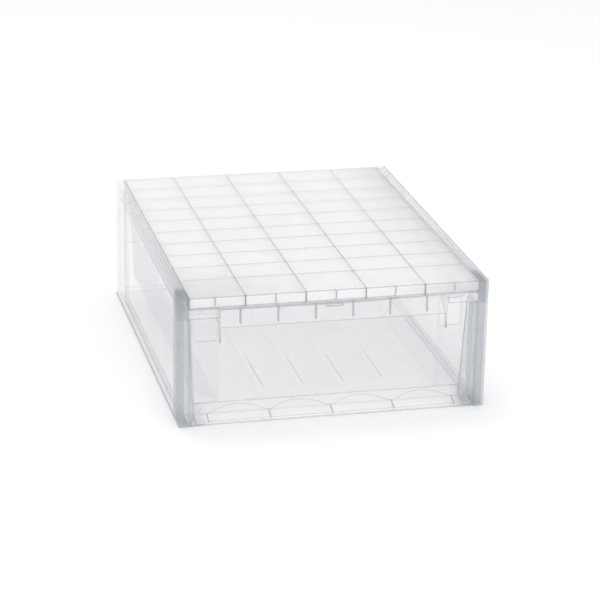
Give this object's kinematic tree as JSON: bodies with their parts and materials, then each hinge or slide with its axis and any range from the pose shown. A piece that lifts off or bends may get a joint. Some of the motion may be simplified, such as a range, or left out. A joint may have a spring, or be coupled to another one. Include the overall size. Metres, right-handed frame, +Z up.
{
  "type": "stackable storage drawer unit",
  "caption": "Stackable clear plastic drawer unit: a housing with clear side panes and a ribbed translucent top, holding one wide sliding drawer with a recessed front.",
  "frame": {"origin": "on the ground under the middle of the housing's footprint", "axes": "+Z up, -Y is the front, where the drawer slides out, +X to the right seen from the front"},
  "size_m": [0.396, 0.5, 0.171],
  "materials": {
    "tinted_frame": "translucent polypropylene, satin gloss, cool grey",
    "clear_sheet": "clear polypropylene sheet, glossy",
    "clear_moulding": "clear moulded polypropylene, gloss",
    "frosted_moulding": "translucent frosted moulded polypropylene"
  },
  "bodies": {
    "housing": {"left_side_frame": "tinted_frame", "left_side_pane": "clear_sheet", "left_corner_bracket": "tinted_frame", "right_side_frame": "tinted_frame", "right_side_pane": "clear_sheet", "right_corner_bracket": "tinted_frame", "top_panel": "frosted_moulding", "base_panel": "frosted_moulding", "back_panel": "clear_moulding"},
    "drawer": {"drawer_tray": "clear_moulding", "drawer_bezel": "clear_moulding", "drawer_pull": "frosted_moulding", "drawer_catch": "tinted_frame"}
  },
  "joints": [
    {"name": "drawer_slide", "type": "slide", "parent": "housing", "child": "drawer", "axis": [0, -1, 0], "range_m": [0, 0.39]}
  ]
}
